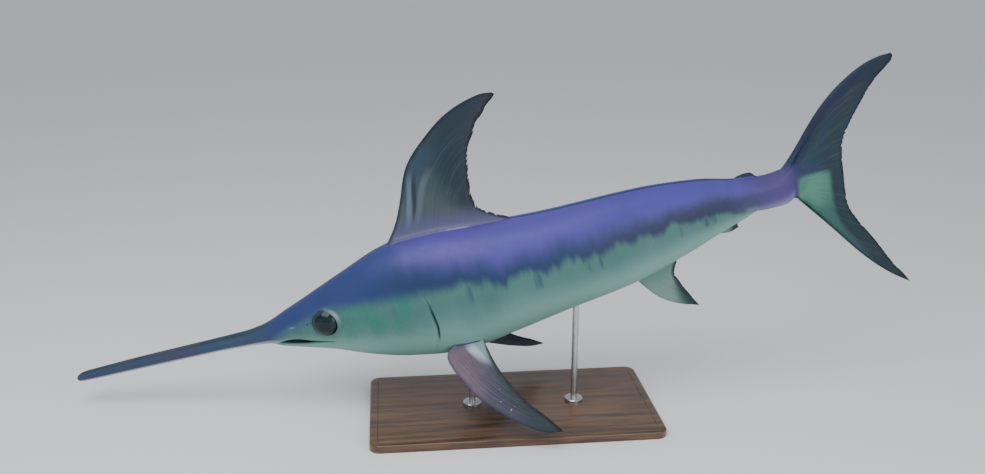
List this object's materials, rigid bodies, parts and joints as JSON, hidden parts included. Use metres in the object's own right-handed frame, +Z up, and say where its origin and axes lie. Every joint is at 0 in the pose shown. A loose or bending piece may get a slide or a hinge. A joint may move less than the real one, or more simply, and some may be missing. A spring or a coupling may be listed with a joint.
{
  "type": "swordfish display model",
  "caption": "Still, life-size swordfish model gliding nose down, with long flat bill and sickle fins, held by steel rods over a flat wooden base.",
  "frame": {"origin": "centre of the underside of the stand's base", "axes": "+Z up from the base; +X from the fish's bill towards its tail, along the base's long side; +Y to the fish's right side"},
  "size_m": [2.4193, 0.4963, 0.9948],
  "materials": {
    "back_skin": "satin",
    "bill_skin": "satin",
    "jaw_skin": "satin",
    "dark_fin": "satin",
    "pale_fin": "satin",
    "side_fin": "satin",
    "eye_glass": "polished",
    "base_wood": "satin varnish",
    "rod_steel": "brushed"
  },
  "bodies": {
    "root": {"anal_fin_first": "pale_fin", "anal_fin_second": "pale_fin", "bill": "bill_skin", "body_front": "back_skin", "body_rear": "back_skin", "caudal_fin_lower": "dark_fin", "caudal_fin_upper": "dark_fin", "caudal_peduncle": "back_skin", "dorsal_fin_first": "dark_fin", "dorsal_fin_second": "dark_fin", "eye_left": "eye_glass", "eye_right": "eye_glass", "head": "back_skin", "lower_jaw": "jaw_skin", "pectoral_fin_left": "side_fin", "pectoral_fin_right": "side_fin", "stand_base": "base_wood", "stand_rod_front": "rod_steel", "stand_rod_rear": "rod_steel"}
  },
  "joints": []
}
